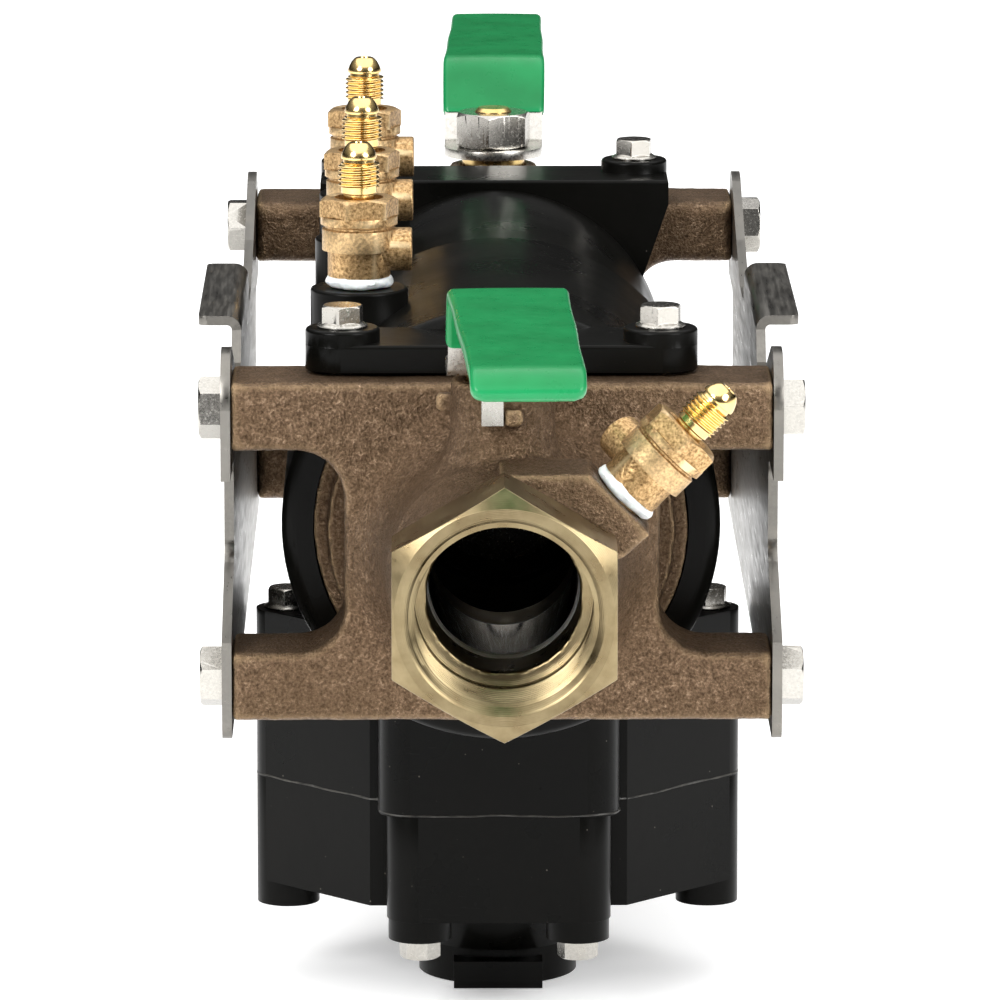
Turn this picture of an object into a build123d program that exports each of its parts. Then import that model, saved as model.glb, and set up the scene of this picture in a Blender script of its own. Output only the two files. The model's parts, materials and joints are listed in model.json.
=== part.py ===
from build123d import *
from math import cos, radians, sin, sqrt, tan
import os

# Reduced-pressure backflow preventer for 1-1/2 inch pipe, as an assembly of separate pieces.
# Millimetres. The origin is the centre of the inlet port face, +Y is the flow direction, +Z is up.
os.makedirs("parts", exist_ok=True)

# Overall layout along the flow
LENGTH = 519.0                 # inlet port face to outlet port face
MID_Y = LENGTH / 2
FLANGE_Y = (86.0, 118.0)       # the inlet casting's clamping flange
STEM_Y = 68.0                  # ball valve stem, from its port face

# Ball valve castings
HEX_AF, HEX_LENGTH = 57.0, 26.0
THREAD_R, THREAD_LENGTH = 22.75, 27.0
PORT_R = 19.75
BALL_R, BALL_PORT_R = 27.0, 19.3
SEAT_R, SEAT_Y = 24.7, (46.0, 55.0)
CAVITY_R, CAVITY_Y = 28.0, 60.0
RETAINER_R, RETAINER_Y = 30.0, (84.0, 112.0)
ARM_X, ARM_INNER_Z, ARM_OUTER_Z = 71.0, 27.0, 45.0
WEB_X = 41.3
COLLAR_R, COLLAR_END = 46.0, 123.0
SPIGOT_END, GROOVE_Y = 140.0, (129.0, 133.5)
COLUMN_R, COLUMN_TOP = 13.6, 50.0
GLAND_R, GLAND_Z = 9.5, (46.0, 51.6)
STEM_R, STEM_SHOULDER_R, STEM_THREAD_R, STEM_FLAT = 6.0, 8.5, 5.5, 4.6

# Plastic body
INLET_TUBE_R, INLET_BORE_R = 58.5, 50.0
OUTLET_TUBE_R, OUTLET_BORE_R = 50.3, 43.0
TUBE_STEP_Y = 251.0
BODY_Y = (123.2, LENGTH - 123.2)
DECK_Y, DECK_Z, DECK_X = (96.5, 127.5), (46.0, 53.2), 51.6
EAR_R, EAR_X, EAR_Y, EAR_TOP = 9.8, 41.8, 106.3, 56.8
COCK_BOSS_R, COCK_X, COCK_YS, COCK_TOP = 13.2, -38.0, (171.0, 259.5, 344.0), 57.0

# Check valves: the downstream face of each seat flange
CHECK_YS = (190.0, 282.0)
CHECK_FLANGE = 8.0

# Relief valve, on a vertical axis at mid length
JOINT_Z = -97.0
COVER_Z, SIDE_BOSS_Z, CORNER_BOSS_Z, NOZZLE_Z = -127.0, -134.0, -133.0, -153.5
SCREW_BOSS_R, SIDE_SCREW_X, CORNER_X, CORNER_DY = 8.8, 59.5, 22.0, 50.0
BLOCK_X, COVER_BLOCK_X, BLOCK_DY = 33.5, 31.2, 59.0
WING_X, WING_DY, SIDE_TOP_Z = 36.0, 37.5, -49.0
NOZZLE_R, NOZZLE_BORE_R = 22.4, 17.0
GUIDE_R, GUIDE_LEDGE_Z = 18.2, -142.0
LUG_X, LUG_DY, LUG_HEIGHT = 12.5, 27.0, 7.7
CHAMBER_R, UPPER_ROOF_Z, LOWER_FLOOR_Z = 40.0, -84.0, -120.0
DIAPHRAGM_R, DIAPHRAGM_T = 46.0, 2.2
ZONE_DUCT_X, ZONE_DUCT_Y = (-10.0, 10.0), (204.5, 211.5)
TAB_POCKET_X, TAB_POCKET_Y = (-13.2, 13.2), (201.3, 217.5)

# Clamping brackets and fasteners
BRACKET_T, BRACKET_TOP, BRACKET_BOTTOM, LUG_Y = 2.6, 51.8, -50.5, 86.3
TAB_Y, TAB_TOP, LIP_X = (209.0, 310.0), 42.0, 82.8
BOLT_Y, BOLT_Z, BOLT_R, BOLT_AF, BOLT_HEAD = 102.0, 36.0, 4.76, 14.3, 6.0
SCREW_R, SCREW_AF, SCREW_FLANGE_R, SCREW_HEAD = 3.0, 10.0, 6.6, 5.4

# Handles, measured from the stem axis
LEVER_T, LEVER_W, GRIP_T, GRIP_W, TIP_W = 2.6, 29.6, 4.2, 30.8, 28.0
LEVER_Z, LEVER_FOOT_Y = 52.4, -13.6
LEVER_BEND, GRIP_TIP, GRIP_LIP = (-29.0, 76.3), (-146.0, 74.9), (-149.5, 70.0)
GRIP_FOOT_Z, TONGUE_END = 62.0, -141.0
INLET_TURN, OUTLET_TURN = 2.0, -0.8     # how far round each handle rests, in degrees
NUT_AF, NUT_Z, STEM_TOP = 20.9, (55.1, 65.5), 66.8

# Test cocks, measured along each cock's own axis from its boss face
COCK_SHANK_R = 6.0
COCK_SIDE_S, COCK_SIDE_R, COCK_SIDE_X = 10.3, 5.85, 14.3
FLARE_R, FLARE_S = 5.55, (27.0, 34.2)
PLUG_R = 3.6
COCK_1_FACE, COCK_1_TURN = (30.0, 43.0, 23.0), 140.0

GAP = 0.05                     # running clearance on a radius


# ---------------------------------------------------------------- shared shapes
def rod_x(r, x0, x1, y=0.0, z=0.0):
    """Cylinder along X."""
    return Pos((x0 + x1) / 2, y, z) * Rot(0, 90, 0) * Cylinder(r, abs(x1 - x0))


def rod_y(r, y0, y1, x=0.0, z=0.0):
    """Cylinder along Y."""
    return Pos(x, (y0 + y1) / 2, z) * Rot(90, 0, 0) * Cylinder(r, abs(y1 - y0))


def rod_z(r, z0, z1, x=0.0, y=0.0):
    """Cylinder along Z."""
    return Pos(x, y, (z0 + z1) / 2) * Cylinder(r, abs(z1 - z0))


def block(x, y, z):
    """Box from three (low, high) pairs."""
    centre = Pos(sum(x) / 2, sum(y) / 2, sum(z) / 2)
    return centre * Box(abs(x[1] - x[0]), abs(y[1] - y[0]), abs(z[1] - z[0]))


def turned_y(points):
    """Solid of revolution about the flow axis from (y, r) points."""
    return revolve(make_face(Polyline([(r, y) for y, r in points], close=True)), Axis.Y)


def turned_z(points):
    """Solid of revolution about Z from (z, r) points."""
    outline = Polyline([(r, 0, z) for z, r in points], close=True)
    return revolve(make_face(outline), Axis.Z)


def ring_y(outer, inner, y0, y1):
    """Flat ring about the flow axis."""
    return rod_y(outer, y0, y1) - rod_y(inner, y0 - 1, y1 + 1)


def ring_z(outer, inner, z0, z1):
    """Flat ring about the Z axis."""
    return rod_z(outer, z0, z1) - rod_z(inner, z0 - 1, z1 + 1)


def hexagon_z(across_flats, z0, z1, chamfer_top=True, chamfer_bottom=False, turn=0.0):
    """Hexagonal prism about Z with its corners turned off at 30 degrees."""
    corner = across_flats / sqrt(3)
    drop = (corner - across_flats / 2 * 0.98) * tan(radians(30))
    prism = Pos(0, 0, z0) * Rot(0, 0, turn) * extrude(RegularPolygon(corner, 6), z1 - z0)
    top = z1 - drop if chamfer_top else z1
    bottom = z0 + drop if chamfer_bottom else z0
    face_r = across_flats / 2 * 0.98
    profile = [(z0, 0), (z0, face_r if chamfer_bottom else corner + 1)]
    profile += [(bottom, corner)] if chamfer_bottom else []
    profile += [(top, corner + (0 if chamfer_top else 1))]
    profile += [(z1, face_r)] if chamfer_top else []
    profile += [(z1, 0)]
    return prism & turned_z(profile)


def turned_about(shape):
    """The same piece at the outlet end: half a turn about the vertical axis at mid length."""
    return Pos(0, LENGTH, 0) * Rot(0, 0, 180) * shape


def mirrored_end(shape):
    """The same piece mirrored from the inlet half to the outlet half."""
    return mirror(shape, about=Plane.XZ.offset(-MID_Y))


def save(node, *shapes):
    """Write one node, as a compound when it has several solids."""
    solids = [solid for shape in shapes for solid in shape.solids()]
    export_step(solids[0] if len(solids) == 1 else Compound(children=solids), f"parts/{node}.step")


# ---------------------------------------------------------------- ball valve castings
def port_hexagon():
    """Wrench hexagon with its corners up and down and its front turned to a circle."""
    corner = HEX_AF / sqrt(3)
    prism = Rot(-90, 0, 0) * Rot(0, 0, 30) * extrude(RegularPolygon(corner, 6), HEX_LENGTH)
    front, back = HEX_AF / 2 - 0.25, HEX_AF / 2 + 1.2
    profile = [(0, 0), (0, front), (2.7, corner), (HEX_LENGTH - 1.6, corner), (HEX_LENGTH, back),
               (HEX_LENGTH, 0)]
    return prism & turned_y(profile)


def valve_barrel():
    """Neck, shoulder ring and ball housing, flaring in a cove to the flange."""
    neck = Spline((28.0, 22.0), (26.9, 31.0), (27.6, 42.0), (30.3, 54.0))
    housing = Spline((30.3, 59.0), (31.2, 68.0), (34.0, 78.0), (41.0, 86.5))
    rest = Polyline(housing @ 1, (0, 86.5), (0, 22), neck @ 0)
    return revolve(make_face([neck, Line(neck @ 1, housing @ 0), housing, rest]), Axis.Y)


def valve_flange():
    """Flange with a full-height web and four arms that reach the side brackets."""
    bar = Rectangle(2 * ARM_X, 2 * ARM_OUTER_Z) - Rectangle(2 * ARM_X + 2, 2 * ARM_INNER_Z)
    outline = bar + Rectangle(2 * WEB_X, 2 * ARM_OUTER_Z)
    on_web = [v for v in outline.vertices() if abs(abs(v.X) - WEB_X) < 0.1]
    inner = [v for v in on_web if abs(abs(v.Y) - ARM_INNER_Z) < 0.1]
    outline = fillet(inner, 12.5)
    plate = Pos(0, FLANGE_Y[0], 0) * Rot(-90, 0, 0) * extrude(outline, FLANGE_Y[1] - FLANGE_Y[0])
    front = plate.faces().sort_by(Axis.Y)[0].edges()
    plate = fillet(front, 2.2)
    back = plate.faces().sort_by(Axis.Y)[-1].edges()
    return fillet(back, 4.0)


def stem_column():
    """Stem housing on top of the barrel, with a web back to the flange."""
    side = Spline((21.5, 0, 22.0), (16.0, 0, 29.0), (COLUMN_R, 0, 37.0), tangents=[(-1, 0, 0.8), (0, 0, 1)])
    rest = Polyline(side @ 1, (COLUMN_R, 0, COLUMN_TOP - 0.8), (COLUMN_R - 0.8, 0, COLUMN_TOP),
                    (0, 0, COLUMN_TOP), (0, 0, 22), side @ 0)
    column = Pos(0, STEM_Y, 0) * revolve(make_face([side, rest]), Axis.Z)
    web = block((-11.5, 11.5), (STEM_Y, FLANGE_Y[0] + 4), (20, ARM_OUTER_Z - 1.5))
    return column + fillet(web.edges().filter_by(Axis.Y).sort_by(Axis.Z)[-2:], 3.0)


def stop_lugs():
    """Two cast lugs that stop the handle fully open and fully closed."""
    lug = fillet(block((0.3, 5.3), (-17.2, -10.5), (39.6, 44.2)).edges(), 0.9)
    closed = fillet(block((-17.2, -10.5), (6.4, 11.4), (39.6, 44.2)).edges(), 0.9)
    return Pos(0, STEM_Y, 0) * (lug + closed)


def cock_boss():
    """Raised block on the inlet barrel with a 45 degree face for test cock 1."""
    outline = Polyline((-1.0, 0, 31.0), (22.0, 0, 31.0), (37.6, 0, 15.4), (31.0, 0, 9.5), (12.0, 0, 3.0),
                       (-1.0, 0, 3.0), close=True)
    solid = extrude(make_face(outline), 13.0, dir=(0, 1, 0), both=True)
    ends = [e for e in solid.edges() if abs(e.center().Y) > 12.9 and e.center().Z > 8]
    return Pos(0, COCK_1_FACE[1], 0) * fillet(ends, 1.6)


def valve_bores(spigot_r):
    """Everything that is machined along the flow axis."""
    outlet_r = spigot_r - 5.7
    profile = [(-1, 0), (-1, THREAD_R), (THREAD_LENGTH, THREAD_R), (THREAD_LENGTH, PORT_R),
               (SEAT_Y[0], PORT_R), (SEAT_Y[0], SEAT_R), (SEAT_Y[1] - 2, SEAT_R),
               (CAVITY_Y, CAVITY_R), (RETAINER_Y[0], CAVITY_R), (RETAINER_Y[0], RETAINER_R),
               (RETAINER_Y[1], RETAINER_R), (COLLAR_END + 1, outlet_r), (SPIGOT_END + 1, outlet_r),
               (SPIGOT_END + 1, 0)]
    return turned_y(profile)


def valve_body(spigot_r, with_cock_boss):
    """One sand-cast ball valve body with its machined end, stem housing and flange."""
    body = valve_barrel() + valve_flange() + stem_column() + stop_lugs()
    if with_cock_boss:
        body += cock_boss()
    body += port_hexagon()
    body += rod_y(COLLAR_R, FLANGE_Y[1] - 1, COLLAR_END)
    groove_r, (groove_start, groove_end) = spigot_r - 3.2, GROOVE_Y
    body += turned_y([(COLLAR_END - 1, 0), (COLLAR_END - 1, COLLAR_R - 1), (COLLAR_END, spigot_r),
                      (groove_start, spigot_r), (groove_start, groove_r), (groove_end, groove_r),
                      (groove_end, spigot_r), (SPIGOT_END - 1.5, spigot_r), (SPIGOT_END, spigot_r - 1.5),
                      (SPIGOT_END, 0)])
    body -= valve_bores(spigot_r)
    stem_hole = rod_z(STEM_R + GAP, 25, 60) + rod_z(STEM_SHOULDER_R + GAP, 18, 32)
    body -= Pos(0, STEM_Y, 0) * (stem_hole + rod_z(GLAND_R + GAP, 38, 60))
    for side in (-1, 1):
        for z in (-BOLT_Z, BOLT_Z):
            body -= rod_x(BOLT_R + GAP, side * 46.5, side * (ARM_X + 1), BOLT_Y, z)
        body -= rod_z(SCREW_R + GAP, 28.5, ARM_OUTER_Z + 1, side * EAR_X, EAR_Y)
    if with_cock_boss:
        x, y, z = COCK_1_FACE
        tapping = rod_z(COCK_SHANK_R + GAP, -9.5, 2) + rod_z(2.5, -16, 0)
        body -= Pos(x, y, z) * Rot(0, 45, 0) * tapping
    return body


def seat_retainer():
    """Threaded sleeve behind the ball that loads the rear seat."""
    r, (y0, y1) = RETAINER_R - GAP, RETAINER_Y
    seat_end = 2 * STEM_Y - SEAT_Y[0]
    sleeve = turned_y([(y0, SEAT_R), (y0, r), (y1, r), (y1, 26.0), (y1 - 6, PORT_R), (seat_end, PORT_R),
                       (seat_end, SEAT_R)])
    return sleeve - block((-40, 40), (y1 - 3.5, y1 + 1), (-3, 3))


def ball_seats():
    """The two plastic seat rings either side of the ball."""
    ring = ring_y(SEAT_R - GAP, PORT_R, SEAT_Y[0] + GAP, SEAT_Y[1])
    ring -= Pos(0, STEM_Y, 0) * Sphere(BALL_R + GAP)
    return ring + mirror(ring, about=Plane.XZ.offset(-STEM_Y))


def valve_ball():
    """Ball with a full port and a drive slot across its top."""
    ball = Sphere(BALL_R) - rod_y(BALL_PORT_R, -30, 30) - block((-20, 20), (-4.1, 4.1), (22.2, 30))
    return Pos(0, STEM_Y, 0) * ball


def valve_stem():
    """Stem with a drive tang, a blow-out shoulder, handle flats and a threaded top."""
    flats_start, flats_end = GLAND_Z[1] + 0.2, LEVER_Z + LEVER_T + GAP
    stem = block((-7, 7), (-4, 4), (22.4, 28)) & rod_z(7.6, 20, 30)
    stem += rod_z(STEM_SHOULDER_R - GAP, 27.4, 30.6) + rod_z(STEM_R, 30, flats_end)
    waste = rod_z(10, flats_start, flats_end)
    stem -= waste - block((-STEM_FLAT, STEM_FLAT), (-9, 9), (flats_start, flats_end))
    thread = turned_z([(flats_end, 0), (flats_end, STEM_THREAD_R), (STEM_TOP - 1, STEM_THREAD_R),
                       (STEM_TOP, STEM_THREAD_R - 0.9), (STEM_TOP, 0)])
    return Pos(0, STEM_Y, 0) * (stem + thread)


def stem_seals():
    """Thrust washer under the stem shoulder and a packing ring in the stuffing box."""
    washer = ring_z(STEM_SHOULDER_R - GAP, STEM_R + GAP, 30.7, 31.95)
    packing = ring_z(GLAND_R, STEM_R + GAP, 38.05, GLAND_Z[0] - GAP)
    return Pos(0, STEM_Y, 0) * (washer + packing)


def packing_gland():
    """Brass gland ring that presses the packing."""
    gland = ring_z(GLAND_R, STEM_R + GAP, *GLAND_Z)
    return Pos(0, STEM_Y, 0) * (gland - block((-12, 12), (-1, 1), (GLAND_Z[1] - 1.5, GLAND_Z[1] + 1)))


# ---------------------------------------------------------------- handles, at the stem axis
def side_strip(corners, radii, thickness):
    """Wide strip that follows a side-view path of (y, z) corners."""
    path = FilletPolyline(corners, radius=radii)
    return extrude(Plane.YZ * trace(path, thickness), 20, both=True)


def on_tongue(y):
    """Height of the tongue's centreline at a distance y from the stem."""
    slope = (GRIP_TIP[1] - LEVER_BEND[1]) / (GRIP_TIP[0] - LEVER_BEND[0])
    return LEVER_BEND[1] + slope * (y - LEVER_BEND[0])


def lever_blank(grow):
    """The lever's bent strip: round plate, riser and tapered tongue, grown all round by a clearance."""
    mid = LEVER_Z + LEVER_T / 2
    wide, narrow, tongue_end = LEVER_W / 2 + grow, TIP_W / 2 - 1.4 + grow, TONGUE_END - grow
    side = [(wide, mid), (LEVER_FOOT_Y, mid), LEVER_BEND, (tongue_end, on_tongue(tongue_end))]
    strip = side_strip(side, [4.5, 6.5], LEVER_T + 2 * grow)
    tongue = Polyline((-wide, 0), (-wide, -24), (-narrow, tongue_end), (narrow, tongue_end), (wide, -24),
                      (wide, 0), close=True)
    plan = make_face(tongue) + Circle(wide)
    return strip & (Pos(0, 0, 40) * extrude(plan, 50))


def handle_lever():
    """Bare steel lever with its stop tab and the double-D hole for the stem."""
    lever = lever_blank(0.0)
    lever += block((-6.1, -0.5), (-17.0, -14.4), (40.0, LEVER_Z + LEVER_T))
    lever += block((-6.1, -0.5), (-17.0, -12.0), (LEVER_Z, LEVER_Z + LEVER_T))
    half, z = STEM_FLAT + 0.2, (LEVER_Z - 1, LEVER_Z + LEVER_T + 1)
    return lever - (rod_z(STEM_R + GAP, *z) & block((-half, half), (-9, 9), z))


def handle_grip():
    """Vinyl sleeve over the riser and the tongue, with a turned-down tip."""
    rise = (GRIP_FOOT_Z - LEVER_Z - LEVER_T / 2) / (LEVER_BEND[1] - LEVER_Z - LEVER_T / 2)
    foot_y = LEVER_FOOT_Y + rise * (LEVER_BEND[0] - LEVER_FOOT_Y)
    sleeve = side_strip([(foot_y, GRIP_FOOT_Z), LEVER_BEND, GRIP_TIP, GRIP_LIP], [6.5, 4.2], GRIP_T)
    wide, tip, reach = GRIP_W / 2, TIP_W / 2, GRIP_LIP[0] - 5
    outline = Polyline((-wide, -10), (-wide, -30), (-tip, reach), (tip, reach), (wide, -30), (wide, -10),
                       close=True)
    sleeve &= Pos(0, 0, 40) * extrude(make_face(outline), 50)
    sides = [e for e in sleeve.edges() if abs(e.center().X) > tip - 1 and e.length > 3.5]
    sleeve = fillet(sides, 1.6)
    dimple = Pos(-3.5, -20.0, 67.6) * Rot(56, 0, 0) * Torus(3.0, 0.9)
    return (sleeve + dimple) - lever_blank(GAP)


def handle_nut():
    """Plain steel nut on the stem thread."""
    nut = hexagon_z(NUT_AF, *NUT_Z, chamfer_top=True, chamfer_bottom=True, turn=24.0)
    return nut - rod_z(STEM_THREAD_R + GAP, NUT_Z[0] - 1, NUT_Z[1] + 1)


def on_stem(shape, turn=0.0):
    """Place a handle piece on the inlet stem."""
    return Pos(0, STEM_Y, 0) * Rot(0, 0, turn) * shape


# ---------------------------------------------------------------- plastic body
def relief_outline(block_x):
    """Plan outline of the relief housing, about its vertical axis, for one half-width of its blocks."""
    side = Pos(SIDE_SCREW_X, 0) * Circle(SCREW_BOSS_R)
    side += Pos(-SIDE_SCREW_X, 0) * Circle(SCREW_BOSS_R)
    reach, shoulder = SIDE_SCREW_X + SCREW_BOSS_R / sqrt(2), SCREW_BOSS_R / sqrt(2)
    wings = Polyline((reach, shoulder), (WING_X, WING_DY), (-WING_X, WING_DY), (-reach, shoulder),
                     (-reach, -shoulder), (-WING_X, -WING_DY), (WING_X, -WING_DY), (reach, -shoulder),
                     close=True)
    blocks = RectangleRounded(2 * block_x, 2 * BLOCK_DY, SCREW_BOSS_R)
    return side + make_face(wings) + blocks


def relief_prism(block_x, z0, z1):
    """The relief housing's outline between two heights."""
    return Pos(0, MID_Y, z0) * extrude(relief_outline(block_x), z1 - z0)


def corner_centres():
    """The four corner bolt positions of the relief housing."""
    return [(sx * CORNER_X, MID_Y + sy * CORNER_DY) for sx in (-1, 1) for sy in (-1, 1)]


def end_deck():
    """Upper deck with two screw ears, and the tapering end plate under it (inlet end)."""
    deck_plan = Rectangle(2 * DECK_X, DECK_Y[1] - DECK_Y[0])
    outer = deck_plan.vertices().sort_by(Axis.Y)[:2]
    deck_plan = fillet(outer, EAR_R - 0.4)
    deck = Pos(0, sum(DECK_Y) / 2, DECK_Z[0]) * extrude(deck_plan, DECK_Z[1] - DECK_Z[0])
    deck = fillet(deck.faces().sort_by(Axis.Z)[-1].edges(), 1.0)
    for side in (-1, 1):
        ear = fillet(rod_z(EAR_R, DECK_Z[0], EAR_TOP, side * EAR_X, EAR_Y).edges().sort_by(Axis.Z)[-1:], 1.0)
        deck += ear
    plate = make_face(Polyline((DECK_X, DECK_Z[0]), (50.0, DECK_Z[1] - 2), (-50.0, DECK_Z[1] - 2),
                               (-DECK_X, DECK_Z[0]), (-44.0, 24.0), (-44.0, 10.0), (44.0, 10.0),
                               (44.0, 24.0), close=True))
    wall = Pos(0, BODY_Y[0], 0) * Rot(90, 0, 0) * extrude(plate, -(DECK_Y[1] - BODY_Y[0]))
    return deck + wall


def body_outside():
    """Tubes, end decks, test cock bosses and the upper half of the relief housing."""
    inlet = rod_y(INLET_TUBE_R, BODY_Y[0], TUBE_STEP_Y)
    inlet = fillet(inlet.edges().filter_by(GeomType.CIRCLE), 4.0)
    outlet = rod_y(OUTLET_TUBE_R, TUBE_STEP_Y - 10, BODY_Y[1])
    body = inlet + outlet + end_deck() + mirrored_end(end_deck())
    for y in COCK_YS:
        boss = rod_z(COCK_BOSS_R, 20, COCK_TOP, COCK_X, y)
        body += fillet(boss.edges().sort_by(Axis.Z)[-1:], 0.8)
    body += relief_prism(BLOCK_X, JOINT_Z, SIDE_TOP_Z)
    shoulder_y = (MID_Y - BLOCK_DY + 2, MID_Y + BLOCK_DY - 2)
    return body + block((-BLOCK_X, BLOCK_X), shoulder_y, (SIDE_TOP_Z - 2, -30))


def body():
    """Plastic main body with its bores, passages and screw holes."""
    shape = body_outside()
    first, second = CHECK_YS
    ledge = second - CHECK_FLANGE
    profile = [(BODY_Y[0] - 5, 0), (BODY_Y[0] - 5, INLET_BORE_R), (first, INLET_BORE_R),
               (first, OUTLET_BORE_R), (ledge - 8, OUTLET_BORE_R), (ledge - 8, 36.0), (ledge, 36.0),
               (ledge, OUTLET_BORE_R), (BODY_Y[1] + 5, OUTLET_BORE_R), (BODY_Y[1] + 5, 0)]
    shape -= turned_y(profile)
    shape -= ring_y(INLET_BORE_R + 2.2, 40, first - 10.8, first - 8.6)
    shape -= ring_y(OUTLET_BORE_R + 2.2, 40, second + 0.2, second + 2.4)
    for side in (-1, 1):
        for y in (EAR_Y, LENGTH - EAR_Y):
            shape -= rod_z(SCREW_R + 0.3, 20, EAR_TOP + 1, side * EAR_X, y)
        shape -= rod_z(SCREW_R + 0.3, JOINT_Z - 1, SIDE_TOP_Z + 1, side * SIDE_SCREW_X, MID_Y)
    for x, y in corner_centres():
        shape -= rod_z(SCREW_R + GAP, JOINT_Z - 1, -78, x, y)
    for y in COCK_YS:
        shape -= rod_z(COCK_SHANK_R + GAP, COCK_TOP - 9.5, COCK_TOP + 1, COCK_X, y)
        shape -= rod_z(3.0, 0, COCK_TOP - 9, COCK_X, y)
    shape -= Pos(0, MID_Y, 0) * rod_z(CHAMBER_R, JOINT_Z - 1, UPPER_ROOF_Z)
    shape -= Pos(0, MID_Y, 0) * rod_z(DIAPHRAGM_R + 0.3, JOINT_Z - 1, JOINT_Z + DIAPHRAGM_T / 2)
    shape -= Pos(0, MID_Y, 0) * rod_z(4.0 + GAP, UPPER_ROOF_Z - 1, -70)
    shape -= block(ZONE_DUCT_X, ZONE_DUCT_Y, (JOINT_Z - 1, -36))
    shape -= block(TAB_POCKET_X, TAB_POCKET_Y, (JOINT_Z - 1, JOINT_Z + DIAPHRAGM_T / 2))
    return shape - sensing_passage()


def sensing_passage():
    """Drilled way from upstream of the first check valve to the top of the diaphragm."""
    mid_r = (INLET_BORE_R + INLET_TUBE_R) / 2
    x, z = mid_r * sin(radians(20)), -mid_r * cos(radians(20))
    along = rod_y(2.0, BODY_Y[0] + 8, 226.0, x, z)
    port = Pos(0, 160.0, 0) * Rot(0, 160, 0) * rod_z(2.0, INLET_BORE_R - 3, mid_r)
    down = rod_z(2.0, UPPER_ROOF_Z - 1, z, x, 226.0)
    return along + port + down


# ---------------------------------------------------------------- relief valve
def relief_cover():
    """Lower half of the relief housing with its vent nozzle."""
    cover = relief_prism(COVER_BLOCK_X, COVER_Z, JOINT_Z)
    for side in (-1, 1):
        cover += rod_z(SCREW_BOSS_R, SIDE_BOSS_Z, JOINT_Z, side * SIDE_SCREW_X, MID_Y)
    for x, y in corner_centres():
        cover += rod_z(SCREW_BOSS_R, CORNER_BOSS_Z, JOINT_Z, x, y)
    cover += Pos(0, MID_Y, 0) * rod_z(NOZZLE_R, NOZZLE_Z, COVER_Z + 1)
    cover += block((-LUG_X, LUG_X), (MID_Y - LUG_DY, MID_Y + LUG_DY), (NOZZLE_Z, NOZZLE_Z + LUG_HEIGHT))
    cover += Pos(0, MID_Y, 0) * turned_z([(COVER_Z + 1, 0), (COVER_Z + 1, 35.0), (COVER_Z, 35.0),
                                          (NOZZLE_Z + 10, NOZZLE_R), (NOZZLE_Z + 10, 0)])
    cover -= Pos(0, MID_Y, 0) * rod_z(CHAMBER_R, LOWER_FLOOR_Z, JOINT_Z + 1)
    cover -= Pos(0, MID_Y, 0) * rod_z(DIAPHRAGM_R + 0.3, JOINT_Z - DIAPHRAGM_T / 2, JOINT_Z + 1)
    cover -= Pos(0, MID_Y, 0) * rod_z(NOZZLE_BORE_R, NOZZLE_Z - 1, LOWER_FLOOR_Z + 1)
    cover -= Pos(0, MID_Y, 0) * rod_z(GUIDE_R, GUIDE_LEDGE_Z, LOWER_FLOOR_Z + 1)
    cover -= Pos(0, MID_Y, 0) * rod_z(NOZZLE_BORE_R + 3.0, LOWER_FLOOR_Z - 3.0, LOWER_FLOOR_Z + 1)
    cover -= block(ZONE_DUCT_X, (ZONE_DUCT_Y[0], ZONE_DUCT_Y[1] + 12), (-112, JOINT_Z - 5))
    cover -= block(ZONE_DUCT_X, ZONE_DUCT_Y, (-112, JOINT_Z + 1))
    cover -= block(TAB_POCKET_X, TAB_POCKET_Y, (JOINT_Z - DIAPHRAGM_T / 2, JOINT_Z + 1))
    for side in (-1, 1):
        cover -= rod_z(SCREW_R + GAP, -126, JOINT_Z + 1, side * SIDE_SCREW_X, MID_Y)
    for x, y in corner_centres():
        cover -= rod_z(SCREW_R + 0.3, CORNER_BOSS_Z - 1, JOINT_Z + 1, x, y)
    return cover


def at_relief(shape):
    """Place a piece on the relief valve's vertical axis."""
    return Pos(0, MID_Y, 0) * shape


def relief_diaphragm():
    """Rubber diaphragm with a tab that seals the duct from the zone between the checks."""
    half = DIAPHRAGM_T / 2
    disc = at_relief(ring_z(DIAPHRAGM_R, 4.0 + GAP, JOINT_Z - half, JOINT_Z + half))
    tab = block((-13.0, 13.0), (TAB_POCKET_Y[0] + 0.2, TAB_POCKET_Y[1]), (JOINT_Z - half, JOINT_Z + half))
    window = block(ZONE_DUCT_X, ZONE_DUCT_Y, (JOINT_Z - 5, JOINT_Z + 5))
    return disc + tab - window


def diaphragm_plates():
    """Metal plates either side of the diaphragm."""
    half = DIAPHRAGM_T / 2 + 0.05
    upper = turned_z([(JOINT_Z + half, 4.0 + GAP), (JOINT_Z + half, 31.0), (JOINT_Z + half + 1.2, 33.5),
                      (JOINT_Z + half + 3.2, 33.5), (JOINT_Z + half + 3.2, 4.0 + GAP)])
    lower = turned_z([(JOINT_Z - half, 4.0 + GAP), (JOINT_Z - half, 29.0), (JOINT_Z - half - 1.2, 31.0),
                      (JOINT_Z - half - 2.6, 31.0), (JOINT_Z - half - 2.6, 4.0 + GAP)])
    return [at_relief(upper), at_relief(lower)]


def relief_stem():
    """Guide stem with a stop collar above the diaphragm and a shoulder for the disc."""
    top = JOINT_Z + DIAPHRAGM_T / 2 + 3.35
    collar_top = UPPER_ROOF_Z - 0.4
    stem = turned_z([(-71.5, 0), (-71.5, 3.4), (-72.2, 4.0), (collar_top, 4.0), (collar_top, 7.5), (top, 7.5),
                     (top, 4.0), (-134.3, 4.0), (-135.0, 3.3), (-135.0, 0)])
    return at_relief(stem)


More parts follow.
